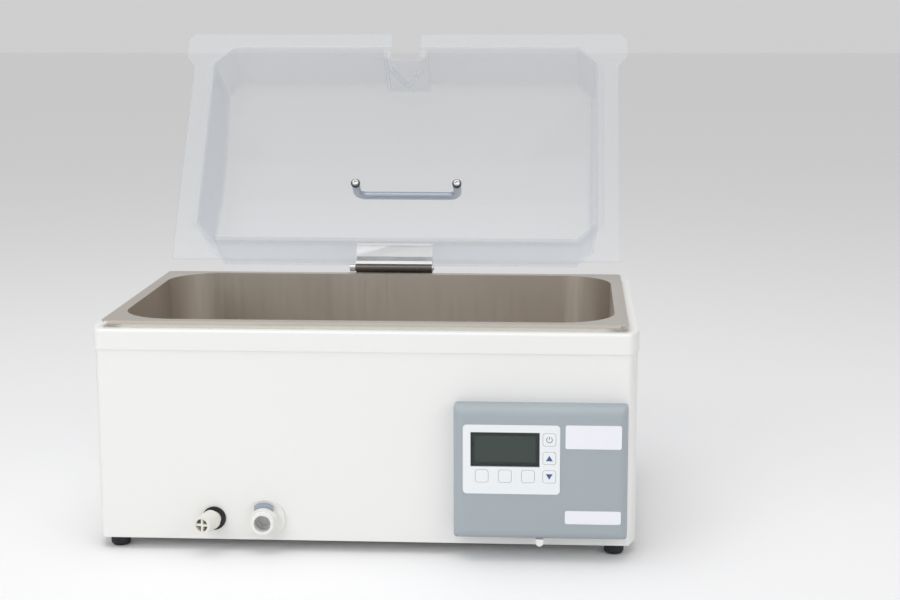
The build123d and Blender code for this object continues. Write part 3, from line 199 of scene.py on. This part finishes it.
def clearSheet(name, tone, facing, grazing, rough=0.04):
    f = Finish(name)
    edge = f.add("ShaderNodeLayerWeight", None, {"Blend": 0.5}, out=1)
    ripple = f.noise(14, 1)                       # the sheet isn't quite flat after forming
    return f.surface({
        # colour darkened towards grazing angles: painted shade that draws the sheet's edges as grey lines
        "Base Color": f.blend(edge, tone, shaded(tone, 0.82)),
        "Roughness": rough,
        "Alpha": f.band(edge ** 2.2, facing, grazing),
        "Normal": f.bump(ripple, 0.0006, 0.25),
        "Specular IOR Level": 0.6,
    })


def plain(name, tone, rough=0.5):
    f = Finish(name)
    speck = f.noise(500, 2)
    return f.surface({
        "Base Color": f.blend(speck, shaded(tone, 0.93), tone),
        "Roughness": f.band(speck, rough, rough + 0.08),
    })


def circuitBoard(name):
    f = Finish(name)
    grid = {"Vector": f.place(), "Scale": 160.0}
    cells = f.add("ShaderNodeTexVoronoi", {"feature": "DISTANCE_TO_EDGE"}, grid)
    tracks = f.add("ShaderNodeMath", {"operation": "LESS_THAN"}, {0: cells, 1: 0.06})
    return f.surface({
        "Base Color": f.blend(tracks, (0.02, 0.13, 0.06), (0.10, 0.32, 0.16)),
        "Roughness": 0.4,
        "Normal": f.bump(tracks, 0.0001, 0.5),
    })


finishes = {
    "case_paint": paintedSteel("whitePowderCoat", colour(240, 240, 238)),
    "tank_steel": satinSteel(
        "drawnTankSteel", colour(214, 208, 200), 0.30, (1, 1, 0.04), colour(205, 195, 184)),
    "seal_rubber": rubbery("paleSeal", colour(228, 226, 218)),
    "foot_rubber": rubbery("blackRubber", colour(34, 34, 36)),
    "screw_steel": satinSteel("screwSteel", colour(196, 196, 196), 0.28, (1, 1, 1)),
    "jacket_felt": felted("jacketFelt", colour(226, 220, 204)),
    "heater_silicone": rubbery("heaterSilicone", colour(196, 96, 56), 0.55),
    "cutout_plastic": moulded("blackPhenolic", colour(44, 42, 42)),
    "hose_rubber": rubbery("siliconeHose", colour(222, 220, 212), 0.45),
    "socket_plastic": moulded("whiteAcetal", colour(238, 238, 235), 0.36),
    "latch_steel": satinSteel("latchSteel", colour(170, 180, 194), 0.30, (20, 1, 1)),
    "nozzle_plastic": moulded("nozzleAcetal", colour(232, 230, 222), 0.40),
    "box_plastic": moulded("greyBoxMoulding", colour(166, 175, 181), 0.46, 1100, 0.00006),
    "keypad_plastic": moulded("keypadFilm", colour(238, 241, 243), 0.34, 2200, 0.00002, 0.985),
    "display_glass": clearSheet("displayWindow", colour(70, 84, 80), 0.12, 0.35, 0.08),
    "display_screen": plain("displaySurround", colour(30, 36, 36), 0.35),
    "board_laminate": circuitBoard("boardLaminate"),
    "plate_plastic": moulded("plateFilm", colour(240, 240, 247), 0.36, 2200, 0.00002, 0.985),
    "inlet_plastic": moulded("inletBlack", colour(32, 32, 33)),
    "lid_clear": clearSheet("clearLid", colour(226, 232, 240), 0.07, 0.75),
    "handle_aluminium": satinSteel("satinAluminium", colour(160, 168, 180), 0.34, (0.05, 1, 1)),
    "pad_plastic": moulded("whitePad", colour(242, 242, 242), 0.40),
    # hinge steel darkened: partly the leaf's own dark steel, partly painted shade round the hinge barrel
    "hinge_steel": satinSteel(
        "hingeSteelWithPaintedShade", colour(112, 108, 104), 0.30, (0.06, 1, 1), colour(84, 78, 72)),
    "washer_rubber": rubbery("washerRubber", colour(52, 52, 56)),
}
lcdGlow = plain("lcdFilm", colour(62, 74, 70), 0.30)
markGrey = plain("symbolGrey", colour(104, 112, 122), 0.5)
markBlue = plain("symbolBlue", colour(70, 92, 150), 0.5)
print("finishes made:", len(bpy.data.materials))


# Mesh helpers
def makeObject(name, mesh, finish):
    piece = bpy.data.objects.new(name, mesh)
    scene.collection.objects.link(piece)
    mesh.materials.clear()
    mesh.materials.append(finish)
    return piece


def settle(piece, body, replaced=()):
    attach(piece, body)
    if replaced:
        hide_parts(*replaced)


skin = {
    "merge": 0.000002,        # loose triangles' corners nearer than this become one
    "flat": 0.3,              # degrees, below which faces are joined
    "sharp": 32,              # degrees, above which an edge stays sharp
}


def smoothSkin(node):
    # a copy of a CAD node with its loose triangles merged and its curved faces shaded smooth
    form = bmesh.new()
    form.from_mesh(nodes[node].data)
    bmesh.ops.remove_doubles(form, verts=form.verts, dist=skin["merge"])
    flat = math.radians(skin["flat"])
    bmesh.ops.dissolve_limit(form, angle_limit=flat, verts=form.verts, edges=form.edges)
    for face in form.faces:
        face.smooth = True
    for edge in form.edges:
        edge.smooth = len(edge.link_faces) == 2 and edge.calc_face_angle(0) < math.radians(skin["sharp"])
    mesh = bpy.data.meshes.new(node + "Skin")
    form.to_mesh(mesh)
    form.free()
    piece = makeObject(node + "Skin", mesh, finishes[slotOf[node]])
    weigh = piece.modifiers.new("evenShading", "WEIGHTED_NORMAL")
    weigh.keep_sharp = True
    settle(piece, bodyOf[node], [node])


skinned = [
    "tank", "top_cover", "case_wrap", "control_box", "lid", "lid_handle", "drain_socket", "drain_nozzle",
    "park_grommet", "drain_latch", "hinge_leaf", "hinge_bracket", "hinge_pin", "hinge_pad", "tank_seal",
    "foot_front_left", "foot_rear_left", "foot_front_right", "foot_rear_right", "box_catch", "mains_inlet",
    "key_power", "key_up", "key_down", "key_soft_1", "key_soft_2", "key_soft_3", "keypad_frame",
    "name_plate_upper", "name_plate_lower", "display_window", "rear_panel", "base_plate", "handle_washers",
]
for name, piece in nodes.items():
    piece.data.materials.clear()
    piece.data.materials.append(finishes[slotOf[name]])
for name in skinned:
    smoothSkin(name)
print("skins made:", len(skinned))


# The display behind its window
display = {
    "surround": 0.0040,       # dark edge round the screen
    "surroundDepth": 0.0003,
    "screenDepth": 0.0001,
    "gap": 0.00002,           # between the module and what lies on it
}


def slab(form, low, high):
    made = bmesh.ops.create_cube(form, size=1)["verts"]
    size = Vector(high) - Vector(low)
    centre = (Vector(high) + Vector(low)) / 2
    for vertex in made:
        vertex.co = vertex.co * size + centre


def finished(form, name, finish, bevel=0.0):
    bmesh.ops.recalc_face_normals(form, faces=form.faces)
    mesh = bpy.data.meshes.new(name)
    form.to_mesh(mesh)
    form.free()
    piece = makeObject(name, mesh, finish)
    if bevel:
        edge = piece.modifiers.new("softEdge", "BEVEL")
        edge.width = bevel
        edge.segments = 1
        edge.limit_method = "ANGLE"
    return piece


windowLow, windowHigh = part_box("display_window")
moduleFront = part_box("display_module")[0].y
form = bmesh.new()
surround = display["surround"]
back = moduleFront - display["gap"]
front = moduleFront - display["surroundDepth"]
x0, x1, z0, z1 = windowLow.x, windowHigh.x, windowLow.z, windowHigh.z
slab(form, (x0, front, z0), (x1, back, z0 + surround))
slab(form, (x0, front, z1 - surround), (x1, back, z1))
slab(form, (x0, front, z0 + surround), (x0 + surround, back, z1 - surround))
slab(form, (x1 - surround, front, z0 + surround), (x1, back, z1 - surround))
settle(finished(form, "displaySurround", finishes["display_screen"]), "housing")
form = bmesh.new()
screenFront = moduleFront - display["screenDepth"]
slab(form, (x0 + surround, screenFront, z0 + surround), (x1 - surround, back, z1 - surround))
settle(finished(form, "displayScreen", lcdGlow), "housing")
print("display made")


# Symbols on the keys, raised films about a tenth of a millimetre thick
symbols = {
    "thickness": 0.00012,
    "ringRadius": 0.0031,
    "ringWidth": 0.0006,
    "ringGap": 62.0,          # degrees left open at the top of the ring
    "barStart": 0.0002,
    "barLength": 0.0034,
    "triangleWidth": 0.0068,
    "triangleHeight": 0.0056,
    "ringSteps": 30,
    "sunk": 0.00001,          # film below the cap's face
    "triangleBevel": 0.0002,
}


def prism(form, corners, y0, y1):
    near = [form.verts.new((x, y0, z)) for x, z in corners]
    far = [form.verts.new((x, y1, z)) for x, z in corners]
    form.faces.new(near)
    form.faces.new(list(reversed(far)))
    for i in range(len(near)):
        j = (i + 1) % len(near)
        form.faces.new((near[j], near[i], far[i], far[j]))


def film(form, corners, capY):
    prism(form, corners, capY - symbols["thickness"], capY + symbols["sunk"])


def keyFace(node):
    low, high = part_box(node)
    return (low.x + high.x) / 2, (low.z + high.z) / 2, low.y


centreX, centreZ, capY = keyFace("key_power")
form = bmesh.new()
steps = symbols["ringSteps"]
gap = symbols["ringGap"]
for i in range(steps):
    a = [math.radians(90 + gap / 2 + (360 - gap) * k / steps) for k in (i, i + 1)]
    inner = symbols["ringRadius"] - symbols["ringWidth"]
    outer = symbols["ringRadius"]
    corners = [(centreX + r * math.cos(t), centreZ + r * math.sin(t))
               for r, t in ((inner, a[0]), (outer, a[0]), (outer, a[1]), (inner, a[1]))]
    film(form, corners, capY)
bar = symbols["ringWidth"] / 2
barFoot = centreZ + symbols["barStart"]
barTop = centreZ + symbols["barLength"]
barLeft, barRight = centreX - bar, centreX + bar
film(form, [(barLeft, barFoot), (barRight, barFoot), (barRight, barTop), (barLeft, barTop)], capY)
bmesh.ops.remove_doubles(form, verts=form.verts, dist=0.000001)
settle(finished(form, "powerSymbol", markGrey), "key_power")
for node, way in (("key_up", 1), ("key_down", -1)):
    centreX, centreZ, capY = keyFace(node)
    half = symbols["triangleWidth"] / 2
    tall = symbols["triangleHeight"] / 2
    foot = centreZ - way * tall
    form = bmesh.new()
    film(form, [(centreX - half, foot), (centreX + half, foot), (centreX, centreZ + way * tall)], capY)
    settle(finished(form, node + "Symbol", markBlue, symbols["triangleBevel"]), node)
print("symbols made")


# Screw heads: one template, placed on points by Geometry Nodes
headShape = {
    "sides": 24,
    "profile": [(0.50, 0.0), (0.50, 0.13), (0.46, 0.24), (0.36, 0.31)],
    "armLength": 0.27,
    "armWidth": 0.075,
    "recessDepth": 0.17,
    "recessFoot": 0.7,        # size of the recess at its floor
    "seed": 7,
}


def headTemplate():
    form = bmesh.new()
    sides = headShape["sides"]
    rings = []
    for radius, height in headShape["profile"]:
        angles = [math.tau * i / sides for i in range(sides)]
        rings.append([form.verts.new((radius * math.cos(t), radius * math.sin(t), height)) for t in angles])
    for low, high in zip(rings, rings[1:]):
        for i in range(sides):
            form.faces.new((low[i], low[(i + 1) % sides], high[(i + 1) % sides], high[i]))
    form.faces.new(list(reversed(rings[0])))
    a, w = headShape["armLength"], headShape["armWidth"]
    cross = [(a, -w), (a, w), (w, w), (w, a), (-w, a), (-w, w)]
    cross += [(-a, w), (-a, -w), (-w, -w), (-w, -a), (w, -a), (w, -w)]
    top = headShape["profile"][-1][1]
    foot, low = headShape["recessFoot"], top - headShape["recessDepth"]
    rim = [form.verts.new((x, y, top)) for x, y in cross]
    floor = [form.verts.new((x * foot, y * foot, low)) for x, y in cross]
    for i in range(len(cross)):
        j = (i + 1) % len(cross)
        form.faces.new((rim[j], rim[i], floor[i], floor[j]))
    form.faces.new(floor)
    loops = []
    for ring in (rings[-1], rim):
        loops += [form.edges.get((ring[i], ring[(i + 1) % len(ring)])) for i in range(len(ring))]
    bmesh.ops.triangle_fill(form, use_beauty=True, edges=loops)
    bmesh.ops.recalc_face_normals(form, faces=form.faces)
    mesh = bpy.data.meshes.new("screwHeadTemplate")
    form.to_mesh(mesh)
    form.free()
    template = bpy.data.objects.new("screwHeadTemplate", mesh)
    scene.collection.objects.link(template)
    return template


def headTree(template):
    tree = bpy.data.node_groups.new("placeScrewHeads", "GeometryNodeTree")
    face = tree.interface
    face.new_socket("Points", in_out="INPUT", socket_type="NodeSocketGeometry")
    face.new_socket("Head Diameter", in_out="INPUT", socket_type="NodeSocketFloat")
    face.new_socket("Tilt", in_out="INPUT", socket_type="NodeSocketFloat")
    face.new_socket("Steel", in_out="INPUT", socket_type="NodeSocketMaterial")
    face.new_socket("Heads", in_out="OUTPUT", socket_type="NodeSocketGeometry")
    new = tree.nodes.new
    link = tree.links.new
    given, result = new("NodeGroupInput"), new("NodeGroupOutput")
    source = new("GeometryNodeObjectInfo")
    source.inputs["Object"].default_value = template
    spin = new("FunctionNodeRandomValue")          # each recess stops at its own angle
    spin.data_type = "FLOAT_VECTOR"
    spin.inputs["Min"].default_value = (0, 0, 0)
    spin.inputs["Max"].default_value = (0, 0, math.pi / 2)
    spin.inputs["Seed"].default_value = headShape["seed"]
    tilt = new("ShaderNodeCombineXYZ")
    link(given.outputs["Tilt"], tilt.inputs["X"])
    place = new("GeometryNodeInstanceOnPoints")
    link(given.outputs["Points"], place.inputs["Points"])
    link(source.outputs["Geometry"], place.inputs["Instance"])
    link(tilt.outputs[0], place.inputs["Rotation"])
    link(given.outputs["Head Diameter"], place.inputs["Scale"])
    turn = new("GeometryNodeRotateInstances")
    link(place.outputs[0], turn.inputs["Instances"])
    link(spin.outputs[0], turn.inputs["Rotation"])
    real = new("GeometryNodeRealizeInstances")
    link(turn.outputs[0], real.inputs[0])
    coat = new("GeometryNodeSetMaterial")
    link(real.outputs[0], coat.inputs["Geometry"])
    link(given.outputs["Steel"], coat.inputs["Material"])
    link(coat.outputs[0], result.inputs[0])
    return tree


def screwHeads(name, tree, row):
    steel = finishes["screw_steel"]
    cloud = bpy.data.meshes.new(name + "Points")
    cloud.from_pydata(row["at"], [], [])
    carrier = bpy.data.objects.new(name + "Carrier", cloud)
    scene.collection.objects.link(carrier)
    place = carrier.modifiers.new("heads", "NODES")
    place.node_group = tree
    wanted = {"Head Diameter": row["width"], "Tilt": math.radians(row["lean"]), "Steel": steel}
    for item in tree.interface.items_tree:
        if item.item_type == "SOCKET" and item.in_out == "INPUT" and item.name in wanted:
            place[item.identifier] = wanted[item.name]
    carrier.update_tag()
    bpy.context.view_layer.update()
    seen = carrier.evaluated_get(bpy.context.evaluated_depsgraph_get())
    mesh = bpy.data.meshes.new_from_object(seen)
    carrier.modifiers.remove(place)
    bpy.data.objects.remove(carrier)
    settle(makeObject(name, mesh, steel), row["body"], [row["node"]])


lidAxis = {"y": 0.169, "z": 0.2395, "open": math.radians(126)}


def lidPoint(x, y, z):
    # a point given in the shut lid's axes from the hinge line, moved to the open lid
    turned, level = math.cos(lidAxis["open"]), math.sin(lidAxis["open"])
    return (x, lidAxis["y"] + y * turned + z * level, lidAxis["z"] - y * level + z * turned)


# where each group's heads sit, how wide they are and how far they lean from upright, in degrees
screwRows = {
    "rearScrewHeads": {
        "at": [(side * 0.2663, 0.172, z) for side in (-1, 1) for z in (0.040, 0.116, 0.192)],
        "width": 0.006, "lean": -90, "body": "housing", "node": "rear_screws"},
    "bracketScrewHeads": {
        "at": [(x, 0.175, 0.21775) for x in (-0.035, 0.035)],
        "width": 0.0075, "lean": -90, "body": "housing", "node": "bracket_screws"},
    "inletScrewHeads": {
        "at": [(x, 0.1745, 0.060) for x in (0.180, 0.220)],
        "width": 0.006, "lean": -90, "body": "housing", "node": "inlet_screws"},
    "leafScrewHeads": {
        "at": [lidPoint(x, -0.023, 0.0034) for x in (-0.032, 0, 0.032)],
        "width": 0.0075, "lean": -126, "body": "lid", "node": "leaf_screws"},
    "handleScrewHeads": {
        "at": [lidPoint(x, -0.165, 0.0867) for x in (-0.064, 0.064)],
        "width": 0.009, "lean": 54, "body": "lid", "node": "handle_screws"},
}
template = headTemplate()
tree = headTree(template)
for name, row in screwRows.items():
    screwHeads(name, tree, row)
bpy.data.objects.remove(template)
print("screw heads placed")


# Floor, light and camera
studio = {
    "floorTone": (0.92, 0.92, 0.93, 1),
    "floorHalfWidth": 9,
    "floorFront": -5,
    "floorBack": 14,
    "worldStrength": 0.62,
}
floorMaterial = Finish("paleFloor").surface({"Base Color": studio["floorTone"], "Roughness": 0.6})
floorMesh = bpy.data.meshes.new("floor")
half, front, back = studio["floorHalfWidth"], studio["floorFront"], studio["floorBack"]
floorCorners = [(-half, front, 0), (half, front, 0), (half, back, 0), (-half, back, 0)]
floorMesh.from_pydata(floorCorners, [], [(0, 1, 2, 3)])
floor = makeObject("floor", floorMesh, floorMaterial)

world = bpy.data.worlds.new("studio")
scene.world = world
world.use_nodes = True
world.node_tree.nodes["Background"].inputs[0].default_value = (1, 1, 1, 1)
world.node_tree.nodes["Background"].inputs[1].default_value = studio["worldStrength"]

softboxes = {
    "overhead": {"at": (-0.25, -0.30, 2.1), "aim": (0, 0, 0.15), "size": 1.8, "power": 17.0},
    "frontLeft": {"at": (-1.5, -2.2, 1.3), "aim": (0, 0, 0.15), "size": 1.4, "power": 14.0},
    "frontRight": {"at": (1.9, -1.7, 1.1), "aim": (0, 0, 0.15), "size": 1.2, "power": 7.0},
}
for name, box in softboxes.items():
    data = bpy.data.lights.new(name, "AREA")
    data.shape = "SQUARE"
    data.size = box["size"]
    data.energy = box["power"]
    lamp = bpy.data.objects.new(name, data)
    scene.collection.objects.link(lamp)
    lamp.location = box["at"]
    lamp.rotation_euler = (Vector(box["aim"]) - Vector(box["at"])).to_track_quat("-Z", "Y").to_euler()

view = {
    "at": (0.20384, -1.94068, 0.56491),
    "yaw": 3.736,
    "pitch": -9.738,
    "roll": -0.119,
    "lens": 72.92,
    "sensor": 36.0,
}
cameraData = bpy.data.cameras.new("viewer")
cameraData.sensor_width = view["sensor"]
cameraData.lens = view["lens"]
camera = bpy.data.objects.new("viewer", cameraData)
scene.collection.objects.link(camera)
turned = (Matrix.Rotation(math.radians(view["yaw"]), 4, "Z")
          @ Matrix.Rotation(math.radians(90 + view["pitch"]), 4, "X")
          @ Matrix.Rotation(math.radians(view["roll"]), 4, "Z"))
camera.matrix_world = Matrix.Translation(Vector(view["at"])) @ turned
scene.camera = camera
print("stage set")
